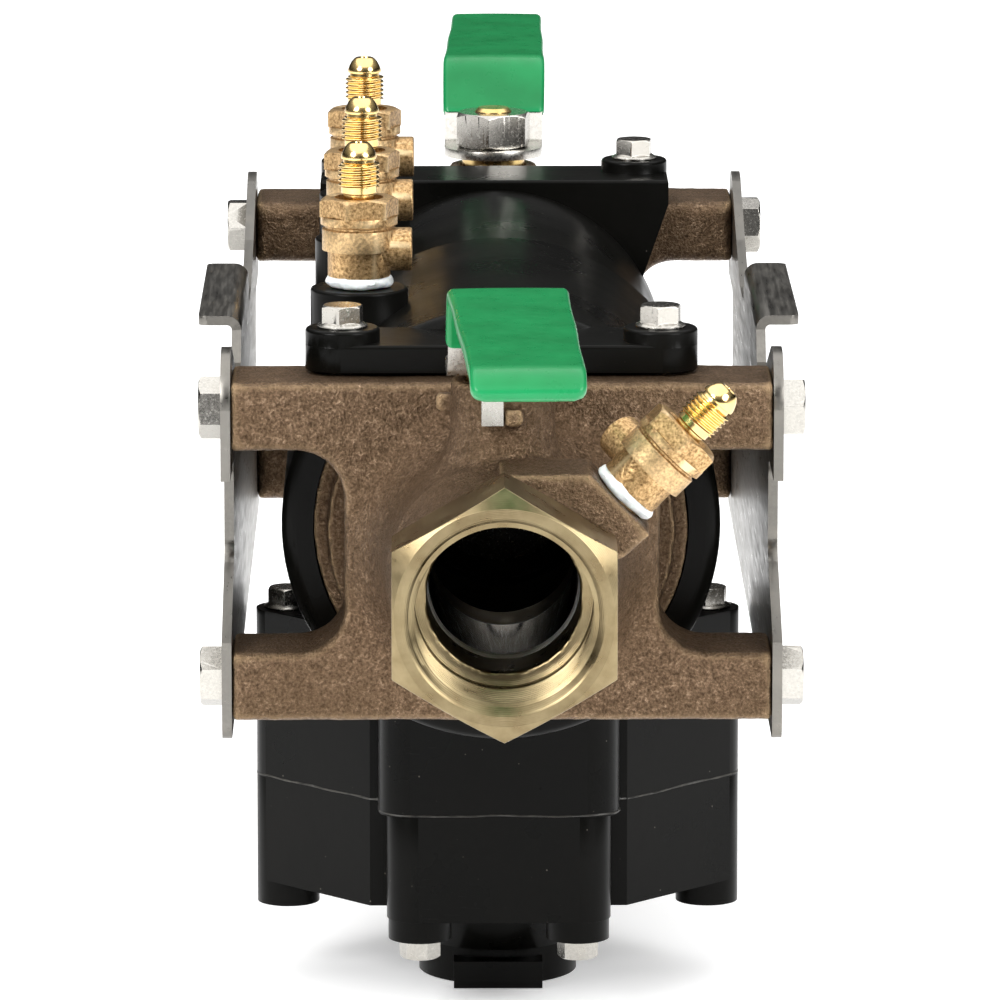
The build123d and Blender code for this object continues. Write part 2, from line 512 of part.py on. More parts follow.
def relief_disc():
    """Disc holder with a rubber face, below the lower plate."""
    top = JOINT_Z - DIAPHRAGM_T / 2 - 2.7
    holder = turned_z([(top, 4.0 + GAP), (top, 8.0), (-104.4, 9.0), (-104.4, 18.0), (-108.0, 18.0),
                       (-108.0, 15.6), (-106.6, 15.6), (-106.6, 4.0 + GAP)])
    face = turned_z([(-106.65, 6.0), (-106.65, 15.5), (-108.0, 15.5), (-108.0, 6.0)])
    return [at_relief(holder), at_relief(face)]


def relief_stem_nut():
    """Nut that holds the disc holder up against the plates."""
    return at_relief(hexagon_z(9.5, -110.6, -106.7) - rod_z(4.0 + GAP, -112, -106)
                     - ring_z(12, 5.9, -108.1, -106.0))


def relief_seat():
    """Stainless seat ring in the cover's floor."""
    bottom = LOWER_FLOOR_Z - 3.0 + GAP
    seat = turned_z([(bottom, 12.5), (bottom, 19.9), (LOWER_FLOOR_Z + 1.5, 19.9), (-118.0, 16.0),
                     (-114.3, 13.4), (-114.3, 12.5)])
    return at_relief(seat)


def helix_spring(mean_r, wire_r, length, turns):
    """Compression spring standing on z = 0, with its wire centre wound between the end planes."""
    path = Helix(pitch=(length - 2 * wire_r) / turns, height=length - 2 * wire_r, radius=mean_r)
    section = Plane(origin=path @ 0, z_dir=path % 0) * Circle(wire_r)
    return Pos(0, 0, wire_r) * sweep(section, path=path)


def relief_spring():
    """Spring that lifts the relief stem when the pressures even out."""
    low, high = LOWER_FLOOR_Z + 0.1, JOINT_Z - DIAPHRAGM_T / 2 - 2.75
    return at_relief(Pos(0, 0, low) * helix_spring(25.5, 1.5, high - low, 3.0))


def relief_guide():
    """Three-armed stem guide, standing on the nozzle's ledge under the seat ring."""
    guide = ring_z(GUIDE_R - GAP, 15.4, GUIDE_LEDGE_Z + GAP, LOWER_FLOOR_Z - 3.0)
    guide += ring_z(6.5, 4.0 + GAP, -133, -127)
    for k in range(3):
        guide += Rot(0, 0, 120 * k + 90) * block((5.5, 16.2), (-1.5, 1.5), (-132.5, -127.5))
    return at_relief(guide)


# ---------------------------------------------------------------- check valves, seat flange face at y = 0
def check_seat(flange_r):
    """Seat ring with a raised lip on its downstream face and a seal groove in its rim."""
    rim, groove = flange_r - 0.25, flange_r - 3.1
    return turned_y([(-CHECK_FLANGE, 27.5), (-CHECK_FLANGE, rim), (-6.0, rim), (-6.0, groove), (-2.6, groove),
                     (-2.6, rim), (0, rim), (0, 30.5), (2.6, 29.2), (2.6, 27.5)])


def check_cage():
    """Four-legged cage that guides the poppet stem and holds the spring."""
    cage = ring_y(39.6, 34.6, 0.05, 4.0) + ring_y(39.6, 34.6, 42.0, 46.0) + ring_y(9.0, 5.0 + GAP, 40.0, 48.0)
    for k in range(4):
        turn = Rot(0, 45 + 90 * k, 0)
        cage += turn * block((-5, 5), (3, 43), (35.2, 39.0))
        cage += turn * block((-2.2, 2.2), (41, 45.5), (7.5, 36))
    return cage


def check_poppet():
    """Poppet plate with its guide stem and a spring seat."""
    return turned_y([(4.7, 0), (4.7, 12.0), (6.2, 12.0), (6.2, 30.5), (2.7, 31.0), (2.7, 33.2), (9.2, 33.2),
                     (9.8, 15.0), (11.5, 13.0), (14.5, 12.0), (14.5, 5.0), (50.0, 5.0), (50.8, 4.2),
                     (50.8, 0)])


def check_disc():
    """Rubber sealing disc in the poppet's face."""
    return ring_y(30.4, 12.1, 2.65, 6.15)


def check_disc_retainer():
    """Washer and screw head that hold the disc."""
    return turned_y([(-0.8, 0), (-0.8, 4.0), (0.4, 5.5), (0.4, 22.0), (2.6, 23.0), (2.6, 11.9), (4.65, 11.9),
                     (4.65, 0)])


def check_spring():
    """Poppet spring between the plate and the cage's hub ring."""
    return Pos(0, 9.9, 0) * Rot(-90, 0, 0) * helix_spring(17.0, 1.3, 30.9, 5.0)


def retaining_ring(bore_r):
    """Internal snap ring with its gap at the top."""
    ring = ring_y(bore_r + 2.1, bore_r - 2.6, 0.05, 1.95)
    return ring - block((-5, 5), (-1, 3), (bore_r - 6, bore_r + 4))


def seal_ring(outer, y):
    """O-ring about the flow axis, just clear of a bore of the given radius."""
    return Pos(0, y, 0) * Rot(90, 0, 0) * Torus(outer - 1.55, 1.45)


# ---------------------------------------------------------------- brackets and fasteners
def at_corner(outline, *corners):
    """The outline's vertices that stand on any of the given (y, z) corners."""
    return [v for v in outline.vertices() if any(abs(v.X - y) + abs(v.Y - z) < 0.01 for y, z in corners)]


def bracket_outline():
    """Side view of a bracket: a lug round each bolt, a sloped shoulder and a raised middle for the tab."""
    low_end, top_end, crest = (LUG_Y, BRACKET_BOTTOM), (LUG_Y, BRACKET_TOP), (106.5, BRACKET_TOP)
    under, notch, shelf, root = (122.0, -7.0), (122.0, 19.0), (182.0, 30.0), TAB_TOP - 3.9
    half = [(MID_Y, BRACKET_BOTTOM), low_end, (LUG_Y, -24.0), under, notch, (LUG_Y, notch[1]), top_end, crest,
            (148.0, 38.6), shelf, (TAB_Y[0] - 2.0, shelf[1]), (TAB_Y[0] + 4.0, root), (MID_Y, root)]
    other = [(LENGTH - y, z) for y, z in reversed(half[1:-1])]
    outline = make_face(Polyline(half + other, close=True))
    for radius, corners in ((14.0, [top_end]), (28.0, [crest]), (5.0, [low_end]), (6.0, [under, notch])):
        both_ends = corners + [(LENGTH - y, z) for y, z in corners]
        outline = fillet(at_corner(outline, *both_ends), radius)
    return outline


def bracket():
    """Pressed steel side bracket for the +X side, with its tab folded outwards."""
    plate = Pos(ARM_X, 0, 0) * extrude(Plane.YZ * bracket_outline(), BRACKET_T)
    fold_x, fold_z = ARM_X + BRACKET_T / 2, TAB_TOP - BRACKET_T / 2
    fold = FilletPolyline((fold_x, TAB_TOP - 8), (fold_x, fold_z), (LIP_X, fold_z), radius=2.6)
    lip = Pos(0, TAB_Y[1] - 4.0, 0) * extrude(Plane.XZ * trace(fold, BRACKET_T), TAB_Y[1] - TAB_Y[0] - 8)
    lip_corners = [e for e in lip.edges() if abs(e.center().X - LIP_X) < 0.01 and e.length < 3]
    plate += fillet(lip_corners, 2.5)
    for y in (BOLT_Y, LENGTH - BOLT_Y):
        for z in (-BOLT_Z, BOLT_Z):
            plate -= rod_x(BOLT_R + 0.3, ARM_X - 1, ARM_X + 5, y, z)
    return plate


def hex_bolt(shank_r, shank, across_flats, head, turn):
    """Hex-head bolt hanging down from z = 0, head above."""
    return hexagon_z(across_flats, 0, head, turn=turn) + rod_z(shank_r, -shank, 0.5)


def flange_screw(shank):
    """Hex-head screw with a round flange, hanging down from z = 0."""
    dish = turned_z([(0, 0), (0, SCREW_FLANGE_R), (0.5, SCREW_FLANGE_R), (1.5, SCREW_AF / 2), (1.5, 0)])
    head = hexagon_z(SCREW_AF, 0.5, SCREW_HEAD + 0.4, turn=22.0)
    return dish + head + rod_z(SCREW_R, -shank, 0.5)


def bracket_bolts():
    """The eight bolts that clamp the brackets to the casting arms."""
    bolts = []
    corners = [(y, z) for y in (BOLT_Y, LENGTH - BOLT_Y) for z in (-BOLT_Z, BOLT_Z)]
    for number, (y, z) in enumerate(corners):
        for side in (-1, 1):
            bolt = hex_bolt(BOLT_R, 25.0, BOLT_AF, BOLT_HEAD, 13.0 * number + 7.0 * side)
            bolts.append(Pos(side * (ARM_X + BRACKET_T + GAP), y, z) * Rot(0, 90 * side, 0) * bolt)
    return bolts


# ---------------------------------------------------------------- test cocks
def cock_body():
    """Cast test cock with its pipe shank below z = 0, side boss along +X and a hexagon on top."""
    profile = [(-9.0, 2.0), (-9.0, 5.2), (0, COCK_SHANK_R), (3.2, COCK_SHANK_R), (3.2, 8.5), (10.3, 8.5),
               (10.3, 10.0), (16.0, 10.0), (16.4, 9.3), (16.9, 9.3), (17.3, 10.4), (19.5, 10.4), (19.5, 2.0)]
    cock = turned_z(profile) + (hexagon_z(18.8, 19.3, 24.5, turn=12.0) - rod_z(2.0, 18, 26))
    side = rod_x(COCK_SIDE_R, 0, COCK_SIDE_X, 0, COCK_SIDE_S)
    cock += fillet(side.edges().sort_by(Axis.X)[-1:], 0.6)
    cock -= rod_z(2.0, -10, 26)
    cock -= rod_z(4.2, 18.0, 26) + rod_z(6.6, 22.0, 26)
    return cock - rod_x(PLUG_R + GAP, -4.0, COCK_SIDE_X + 1, 0, COCK_SIDE_S)


def cock_flare():
    """Polished brass flare fitting screwed into the top of the cock."""
    s0, s1 = FLARE_S
    return turned_z([(18.1, 1.6), (18.1, 4.15), (s0, 4.15), (s0 + 0.6, FLARE_R), (s1, FLARE_R),
                     (s1 + 0.6, 4.15), (s1 + 1.6, 4.15), (39.0, 3.1), (39.4, 2.6), (39.4, 1.6)])


def cock_stem():
    """Rotating plug with a cross hole and a screwdriver slot."""
    plug = rod_x(PLUG_R, -3.6, COCK_SIDE_X - 0.6, 0, COCK_SIDE_S)
    plug -= rod_y(1.7, -5, 5, 0, COCK_SIDE_S)
    return plug - block((COCK_SIDE_X - 2.4, COCK_SIDE_X + 1), (-0.7, 0.7), (COCK_SIDE_S - 5, COCK_SIDE_S + 5))


def cock_tape():
    """Thread tape bunched between the cock and its boss."""
    inner = COCK_SHANK_R + GAP
    return turned_z([(0.1, inner), (0.1, 8.0), (0.9, 8.8), (2.2, 8.7), (3.1, 8.0), (3.1, inner)])


def cock_places():
    """Locations of the four cocks: one on the inlet casting, three on the plastic body."""
    first = Pos(*COCK_1_FACE) * Rot(0, 45, 0) * Rot(0, 0, COCK_1_TURN)
    return [first] + [Pos(COCK_X, y, COCK_TOP) for y in COCK_YS]


# ---------------------------------------------------------------- write the pieces
def write_valve(end, place, spigot_r, with_cock_boss, turn):
    """Write the pieces of one ball valve."""
    save(f"{end}_valve_body", place(valve_body(spigot_r, with_cock_boss)))
    save(f"{end}_seat_retainer", place(seat_retainer()))
    save(f"{end}_ball", place(valve_ball()))
    save(f"{end}_ball_seats", place(ball_seats()))
    save(f"{end}_stem", place(valve_stem()))
    save(f"{end}_stem_seals", place(stem_seals()))
    save(f"{end}_packing_gland", place(packing_gland()))
    save(f"{end}_handle_lever", place(on_stem(handle_lever(), turn)))
    save(f"{end}_handle_grip", place(on_stem(handle_grip(), turn)))
    save(f"{end}_handle_nut", place(on_stem(handle_nut(), turn)))


def write_check(number, y, bore_r):
    """Write the pieces of one check valve."""
    place = Pos(0, y, 0)
    pieces = {"seat": check_seat(bore_r), "cage": check_cage(), "poppet": check_poppet(),
              "disc": check_disc(), "disc_retainer": check_disc_retainer(), "spring": check_spring()}
    for name, shape in pieces.items():
        save(f"check_{number}_{name}", place * shape)


inlet_spigot_r, outlet_spigot_r = INLET_BORE_R - 0.3, OUTLET_BORE_R - 0.3
write_valve("inlet", lambda shape: shape, inlet_spigot_r, True, INLET_TURN)
write_valve("outlet", turned_about, outlet_spigot_r, False, OUTLET_TURN)
save("body", body())
write_check(1, CHECK_YS[0], INLET_BORE_R)
write_check(2, CHECK_YS[1], OUTLET_BORE_R)
save("check_retaining_rings", Pos(0, CHECK_YS[0] - 10.7, 0) * retaining_ring(INLET_BORE_R),
     Pos(0, CHECK_YS[1] + 0.3, 0) * retaining_ring(OUTLET_BORE_R))
save("o_rings", seal_ring(INLET_BORE_R, 131.2), seal_ring(OUTLET_BORE_R, LENGTH - 131.2),
     seal_ring(INLET_BORE_R, CHECK_YS[0] - 4.3), seal_ring(OUTLET_BORE_R, CHECK_YS[1] - 4.3))

save("relief_cover", relief_cover())
save("relief_diaphragm", relief_diaphragm())
save("diaphragm_plates", *diaphragm_plates())
save("relief_stem", relief_stem())
save("relief_disc", *relief_disc())
save("relief_stem_nut", relief_stem_nut())
save("relief_seat", relief_seat())
save("relief_spring", relief_spring())
save("relief_guide", relief_guide())

right_bracket = bracket()
save("bracket_right", right_bracket)
save("bracket_left", mirror(right_bracket, about=Plane.YZ))
save("bracket_bolts", *bracket_bolts())
ear_screw, side_screw = flange_screw(27.0), flange_screw(76.0)
corner_bolt = Rot(180, 0, 0) * hex_bolt(SCREW_R, 53.0, SCREW_AF, 5.6, 9.0)
save("ear_screws", *[Pos(x, y, EAR_TOP + GAP) * ear_screw
                     for x in (-EAR_X, EAR_X) for y in (EAR_Y, LENGTH - EAR_Y)])
save("relief_side_screws", *[Pos(x, MID_Y, SIDE_TOP_Z + GAP) * side_screw
                             for x in (-SIDE_SCREW_X, SIDE_SCREW_X)])
save("relief_corner_bolts", *[Pos(x, y, CORNER_BOSS_Z - GAP) * corner_bolt for x, y in corner_centres()])

save("test_cock_bodies", *[place * cock_body() for place in cock_places()])
save("test_cock_flares", *[place * cock_flare() for place in cock_places()])
save("thread_tape", *[place * cock_tape() for place in cock_places()])
for number, place in enumerate(cock_places(), start=1):
    save(f"test_cock_{number}_stem", place * cock_stem())
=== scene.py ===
import json
import math

import bmesh
import bpy
import numpy as np
from mathutils import Matrix, Vector, noise


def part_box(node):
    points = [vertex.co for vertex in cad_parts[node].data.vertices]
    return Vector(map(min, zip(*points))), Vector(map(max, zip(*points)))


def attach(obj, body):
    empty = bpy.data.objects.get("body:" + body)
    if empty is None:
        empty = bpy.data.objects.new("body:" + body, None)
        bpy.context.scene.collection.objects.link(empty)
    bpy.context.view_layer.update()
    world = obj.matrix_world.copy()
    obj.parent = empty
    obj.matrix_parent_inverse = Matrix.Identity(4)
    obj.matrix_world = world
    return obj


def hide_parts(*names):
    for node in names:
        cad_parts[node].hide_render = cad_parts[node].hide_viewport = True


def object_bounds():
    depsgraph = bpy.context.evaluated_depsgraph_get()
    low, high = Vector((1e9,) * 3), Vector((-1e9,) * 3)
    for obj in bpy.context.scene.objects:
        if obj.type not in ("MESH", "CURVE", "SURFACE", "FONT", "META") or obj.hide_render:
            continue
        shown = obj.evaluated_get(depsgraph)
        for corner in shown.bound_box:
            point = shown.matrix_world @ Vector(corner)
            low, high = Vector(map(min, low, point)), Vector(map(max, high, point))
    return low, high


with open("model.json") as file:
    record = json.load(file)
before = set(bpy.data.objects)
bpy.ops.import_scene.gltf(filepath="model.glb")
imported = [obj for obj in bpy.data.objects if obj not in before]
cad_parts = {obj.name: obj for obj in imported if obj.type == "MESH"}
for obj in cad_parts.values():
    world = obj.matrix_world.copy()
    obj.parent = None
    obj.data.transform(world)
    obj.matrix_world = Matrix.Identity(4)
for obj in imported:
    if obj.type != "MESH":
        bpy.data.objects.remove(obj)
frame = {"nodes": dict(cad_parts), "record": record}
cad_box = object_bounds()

MM = 0.001
TAU = 2 * math.pi
NODES, RECORD = frame["nodes"], frame["record"]
MOUNTS = {m["name"]: m for m in RECORD["mounts"]}
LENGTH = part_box("outlet_valve_body")[1].y / MM
MID_Y = LENGTH / 2


# ---------------------------------------------------------------- materials
class Look:
    """A procedural material; each method adds a node and returns its output."""

    def __init__(self, name, **sockets):
        self.made = bpy.data.materials.new(name)
        self.made.use_nodes = True
        self.tree = self.made.node_tree
        self.shader = self.tree.nodes["Principled BSDF"]
        self.place = self.node("ShaderNodeTexCoord").outputs["Object"]
        for socket, value in sockets.items():
            self.put(socket.replace("_", " "), value)

    def wire(self, target, value):
        if isinstance(value, bpy.types.NodeSocket):
            self.tree.links.new(value, target)
        else:
            target.default_value = value

    def put(self, socket, value):
        self.wire(self.shader.inputs[socket], value)

    def node(self, kind, inputs=None, **settings):
        made = self.tree.nodes.new(kind)
        for key, value in settings.items():
            setattr(made, key, value)
        for key, value in (inputs or {}).items():
            self.wire(made.inputs[key], value)
        return made

    def stretched(self, size_mm, stretch=(1, 1, 1)):
        scale = [1 / (size_mm * MM * s) for s in stretch]
        return self.node("ShaderNodeMapping", {"Vector": self.place, "Scale": scale}).outputs[0]

    def noise(self, size_mm, detail=3.0, rough=0.55, stretch=(1, 1, 1)):
        inputs = {"Vector": self.stretched(size_mm, stretch), "Scale": 1.0, "Detail": detail, "Roughness": rough}
        return self.node("ShaderNodeTexNoise", inputs).outputs[0]

    def cells(self, size_mm, feature="F1", stretch=(1, 1, 1)):
        inputs = {"Vector": self.stretched(size_mm, stretch), "Scale": 1.0}
        return self.node("ShaderNodeTexVoronoi", inputs, feature=feature).outputs["Distance"]

    def rings(self, spacing_mm, wobble=1.0):
        """Turning marks about the flow axis."""
        inputs = {"Vector": self.place, "Scale": math.pi / 10 / (spacing_mm * MM), "Distortion": wobble,
                  "Detail": 2.0, "Detail Scale": 0.4}
        return self.node("ShaderNodeTexWave", inputs, wave_type="RINGS", rings_direction="Y").outputs[1]

    def ramp(self, value, *stops):
        made = self.node("ShaderNodeValToRGB", {"Fac": value})
        ends = made.color_ramp.elements
        while len(ends) < len(stops):
            ends.new(0.5)
        for element, (position, colour) in zip(ends, stops):
            element.position = position
            element.color = (*colour, 1.0)
        return made.outputs[0]

    def mix(self, factor, a, b):
        made = self.node("ShaderNodeMix", {0: factor, 6: a, 7: b}, data_type="RGBA")
        return made.outputs[2]

    def range(self, value, low, high, to_low=0.0, to_high=1.0):
        inputs = {"Value": value, "From Min": low, "From Max": high, "To Min": to_low, "To Max": to_high}
        return self.node("ShaderNodeMapRange", inputs).outputs[0]

    def sum(self, a, b, operation="ADD"):
        return self.node("ShaderNodeMath", {0: a, 1: b}, operation=operation).outputs[0]

    def edges(self, low, high):
        """0 on flats and hollows, 1 on raised edges."""
        return self.range(self.node("ShaderNodeNewGeometry").outputs["Pointiness"], low, high)

    def bump(self, height, depth_mm, strength=1.0, under=None):
        inputs = {"Height": height, "Distance": depth_mm * MM, "Strength": strength}
        if under is not None:
            inputs["Normal"] = under
        return self.node("ShaderNodeBump", inputs).outputs[0]


def colour(*rgb):
    return (*rgb, 1.0)


def cast_bronze():
    look = Look("cast_bronze", Metallic=0.9)
    grain, clump, stain = look.noise(0.75, 4, 0.62), look.noise(2.6, 3), look.noise(26, 4)
    mixed = look.sum(look.sum(grain, 0.68, "MULTIPLY"), look.sum(clump, 0.32, "MULTIPLY"))
    base = look.ramp(mixed, (0.34, (0.055, 0.033, 0.018)), (0.47, (0.125, 0.079, 0.046)),
                     (0.56, (0.19, 0.124, 0.076)), (0.68, (0.40, 0.28, 0.185)))
    toned = look.mix(look.range(stain, 0.38, 0.66, 0.0, 0.42), base, colour(0.10, 0.062, 0.032))
    # Raised edges painted lighter: partly rubbed wear, partly a painted edge highlight
    worn_and_highlit = look.mix(look.edges(0.512, 0.58), toned, colour(0.50, 0.35, 0.20))
    # Hollows and crevices painted darker: painted shade
    look.put("Base Color", look.mix(look.edges(0.485, 0.43), worn_and_highlit, colour(0.05, 0.03, 0.018)))
    look.put("Roughness", look.range(grain, 0.35, 0.65, 0.50, 0.27))
    coarse = look.bump(clump, 0.7, 0.8)
    look.put("Normal", look.bump(grain, 0.8, 1.0, coarse))
    return look.made


def machined_bronze():
    look = Look("machined_bronze", Metallic=1.0)
    cloud, fine, turned = look.noise(9, 4), look.noise(0.5, 3), look.rings(0.42, 1.5)
    base = look.mix(look.range(cloud, 0.35, 0.65), colour(0.19, 0.143, 0.075), colour(0.29, 0.232, 0.13))
    marks = look.range(look.noise(1.6, 5, 0.7), 0.62, 0.72, 0.0, 0.35)
    look.put("Base Color", look.mix(marks, base, colour(0.30, 0.21, 0.11)))
    look.put("Roughness", look.range(cloud, 0.3, 0.7, 0.24, 0.40))
    look.put("Normal", look.bump(fine, 0.02, 0.5, look.bump(turned, 0.035, 0.55)))
    return look.made


def cock_bronze():
    look = Look("cock_bronze", Metallic=0.85)
    grain, pits, cloud = look.noise(0.8, 4, 0.6), look.cells(1.5), look.noise(7, 3)
    base = look.ramp(grain, (0.34, (0.20, 0.115, 0.045)), (0.5, (0.46, 0.29, 0.13)), (0.66, (0.70, 0.47, 0.23)))
    pitted = look.mix(look.range(pits, 0.20, 0.06, 0.0, 0.8), base, colour(0.10, 0.052, 0.02))
    look.put("Base Color", look.mix(look.edges(0.52, 0.62), pitted, colour(0.86, 0.66, 0.38)))
    look.put("Roughness", look.range(cloud, 0.3, 0.7, 0.34, 0.5))
    look.put("Normal", look.bump(pits, 0.12, 0.4, look.bump(grain, 0.16, 0.7)))
    return look.made


def polished_brass():
    look = Look("polished_brass", Metallic=1.0)
    cloud = look.noise(4, 3)
    look.put("Base Color", look.mix(cloud, colour(0.80, 0.55, 0.20), colour(0.93, 0.70, 0.33)))
    look.put("Roughness", look.range(cloud, 0.3, 0.7, 0.14, 0.26))
    look.put("Normal", look.bump(look.noise(0.35, 2), 0.012, 0.5))
    return look.made


def streaked_steel(name, tint, low, high, stretch, depth):
    """Rolled or drawn steel: fine streaks along one direction."""
    look = Look(name, Metallic=1.0)
    streak, cloud = look.noise(0.5, 4, 0.6, stretch), look.noise(14, 4)
    dark = colour(*[0.78 * c for c in tint])
    base = look.mix(look.range(streak, 0.35, 0.65), dark, colour(*tint))
    stained = look.mix(look.range(cloud, 0.50, 0.72, 0.0, 0.3), base, colour(0.36, 0.33, 0.28))
    look.put("Base Color", look.mix(look.edges(0.53, 0.62), stained, colour(*[1.1 * c for c in tint])))
    look.put("Roughness", look.range(streak, 0.3, 0.7, low, high))
    look.put("Normal", look.bump(cloud, 0.25, 0.25, look.bump(streak, depth, 0.6)))
    return look.made


def green_vinyl():
    look = Look("green_vinyl", Specular_IOR_Level=0.22, Coat_Weight=0.08, Coat_Roughness=0.12)
    cloud, skin = look.noise(16, 3), look.noise(3.2, 3)
    base = look.mix(look.range(cloud, 0.3, 0.7), colour(0.004, 0.165, 0.045), colour(0.007, 0.215, 0.062))
    look.put("Base Color", look.mix(look.edges(0.51, 0.60), base, colour(0.02, 0.30, 0.11)))
    look.put("Roughness", look.range(skin, 0.3, 0.7, 0.26, 0.36))
    look.put("Normal", look.bump(look.noise(0.6, 2), 0.02, 0.3, look.bump(skin, 0.12, 0.30)))
    return look.made


def black_plastic():
    look = Look("black_plastic", IOR=1.25, Specular_IOR_Level=0.25)
    cloud, flow = look.noise(30, 4), look.noise(2.2, 4, 0.6, (1, 1, 5))
    specks, scuffs = look.cells(5.5), look.noise(0.8, 3, 0.6, (9, 1, 1))
    base = look.mix(look.range(cloud, 0.3, 0.7), colour(0.0022, 0.0022, 0.0018), colour(0.0042, 0.0040, 0.0034))
    dusted = look.mix(look.range(specks, 0.045, 0.025), base, colour(0.11, 0.10, 0.085))
    look.put("Base Color", look.mix(look.range(scuffs, 0.74, 0.80, 0.0, 0.5), dusted, colour(0.05, 0.048, 0.044)))
    scuffed = look.range(scuffs, 0.66, 0.78, 0.0, 0.2)
    look.put("Roughness", look.sum(look.range(cloud, 0.3, 0.7, 0.24, 0.36), scuffed))
    look.put("Normal", look.bump(cloud, 0.5, 0.25, look.bump(flow, 0.05, 0.35)))
    return look.made


def plain(name, dark, light, rough, size=5.0, depth=0.05, **sockets):
    """A moulded or drawn surface with slight mottling and a fine grain."""
    look = Look(name, **sockets)
    cloud, fine = look.noise(size, 4), look.noise(size / 8, 3)
    look.put("Base Color", look.mix(look.range(cloud, 0.3, 0.7), colour(*dark), colour(*light)))
    look.put("Roughness", look.range(cloud, 0.3, 0.7, rough * 0.85, rough * 1.15))
    look.put("Normal", look.bump(fine, depth, 0.4))
    return look.made


# One finish for each material slot of the record, and one for the moulding flash, which is painted lighter as a
# highlight
LOOKS = {
    "cast_bronze": cast_bronze(),
    "machined_bronze": machined_bronze(),
    "cock_bronze": cock_bronze(),
    "polished_brass": polished_brass(),
    "satin_steel": streaked_steel("satin_steel", (0.20, 0.19, 0.172), 0.26, 0.44, (3, 40, 3), 0.05),
    "bright_steel": streaked_steel("bright_steel", (0.52, 0.50, 0.46), 0.16, 0.30, (1.5, 1.5, 1.5), 0.02),
    "zinc_steel": streaked_steel("zinc_steel", (0.56, 0.54, 0.50), 0.22, 0.36, (2, 12, 2), 0.03),
    "spring_steel": streaked_steel("spring_steel", (0.58, 0.57, 0.55), 0.20, 0.34, (1, 1, 1), 0.02),
    "chrome_ball": plain("chrome_ball", (0.70, 0.70, 0.71), (0.80, 0.80, 0.81), 0.07, 8, 0.005, Metallic=1.0),
    "brass": plain("brass", (0.62, 0.44, 0.17), (0.78, 0.58, 0.27), 0.28, 4, 0.02, Metallic=1.0),
    "ptfe": plain("ptfe", (0.80, 0.80, 0.77), (0.88, 0.88, 0.86), 0.42, 6, 0.03),
    "ptfe_tape": plain("ptfe_tape", (0.72, 0.73, 0.72), (0.90, 0.90, 0.89), 0.5, 2, 0.10, Subsurface_Weight=0.1),
    "green_vinyl": green_vinyl(),
    "black_plastic": black_plastic(),
    "inner_plastic": plain("inner_plastic", (0.020, 0.020, 0.022), (0.032, 0.032, 0.035), 0.42, 9, 0.05),
    # The flash's finish is black plastic made lighter: a painted highlight along the joint
    "flash_plastic_painted_highlight": plain("flash_plastic_painted_highlight", (0.010, 0.0095, 0.008), (0.060, 0.056, 0.048), 0.4, 4, 0.1),
    "black_rubber": plain("black_rubber", (0.012, 0.012, 0.012), (0.022, 0.022, 0.021), 0.6, 4, 0.08),
}

for row in RECORD["subparts"]:
    materials = NODES[row["node"]].data.materials
    materials.clear()
    materials.append(LOOKS[row["material_slot"]])


# ---------------------------------------------------------------- mesh helpers
def piece(name, mesh, slot, body="root", replaces=(), sharp=38.0):
    """Link a mesh as a piece that rides on a body and takes a slot's finish."""
    mesh.name = name
    mesh.materials.clear()
    mesh.materials.append(LOOKS[slot])
    mesh.shade_smooth()
    mesh.set_sharp_from_angle(angle=math.radians(sharp))
    made = bpy.data.objects.new(name, mesh)
    bpy.context.scene.collection.objects.link(made)
    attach(made, body)
    if replaces:
        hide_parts(*replaces)
    return made


def lathe_mesh(rings, close=True, screw=(0, 0, 0)):
    """Closed mesh through rings of points, given in millimetres; screw = (first, last, shift) of thread rings."""
    count = len(rings[0])
    verts = [Vector(p) * MM for ring in rings for p in ring]
    faces = []
    last = len(rings) if close else len(rings) - 1
    low, high, shift = screw
    after = [min(max(i + shift, low), high) if low <= i <= high else i for i in range(len(rings))]
    for i in range(last):
        j = (i + 1) % len(rings)
        for k in range(count - 1):
            faces.append((i * count + k, i * count + k + 1, j * count + k + 1, j * count + k))
        faces.append((i * count + count - 1, after[i] * count, after[j] * count, j * count + count - 1))
    if not close:
        faces.append(tuple(range(count))[::-1])
        faces.append(tuple(range((len(rings) - 1) * count, len(rings) * count)))
    mesh = bpy.data.meshes.new("lathe")
    mesh.from_pydata(verts, [], faces)
    return cleaned(mesh)


def cleaned(mesh, merge=2e-6):
    """Merge doubled points, drop empty faces and point the normals outwards."""
    bm = bmesh.new()
    bm.from_mesh(mesh)
    bmesh.ops.remove_doubles(bm, verts=bm.verts, dist=merge)
    bmesh.ops.dissolve_degenerate(bm, dist=merge / 2, edges=bm.edges)
    bmesh.ops.recalc_face_normals(bm, faces=bm.faces)
    bm.to_mesh(mesh)
    bm.free()
    return mesh


def joined(meshes):
    """Several meshes as one."""
    bm = bmesh.new()
    for mesh in meshes:
        bm.from_mesh(mesh)
    made = bpy.data.meshes.new("joined")
    bm.to_mesh(made)
    bm.free()
    return made


def evaluated(mesh, modifiers):
    """The mesh after a stack of (type, settings) modifiers."""
    holder = bpy.data.objects.new("holder", mesh)
    bpy.context.scene.collection.objects.link(holder)
    for kind, settings in modifiers:
        modifier = holder.modifiers.new(kind, kind)
        for key, value in settings.items():
            setattr(modifier, key, value)
    bpy.context.view_layer.update()
    result = bpy.data.meshes.new_from_object(holder.evaluated_get(bpy.context.evaluated_depsgraph_get()))
    bpy.data.objects.remove(holder)
    return result


def wobble(point, size_mm, seed=0.0):
    """Smooth noise from about -1 to 1 at a point in metres."""
    return noise.noise(point / (size_mm * MM) + Vector((seed, -seed, 0.5 * seed)))


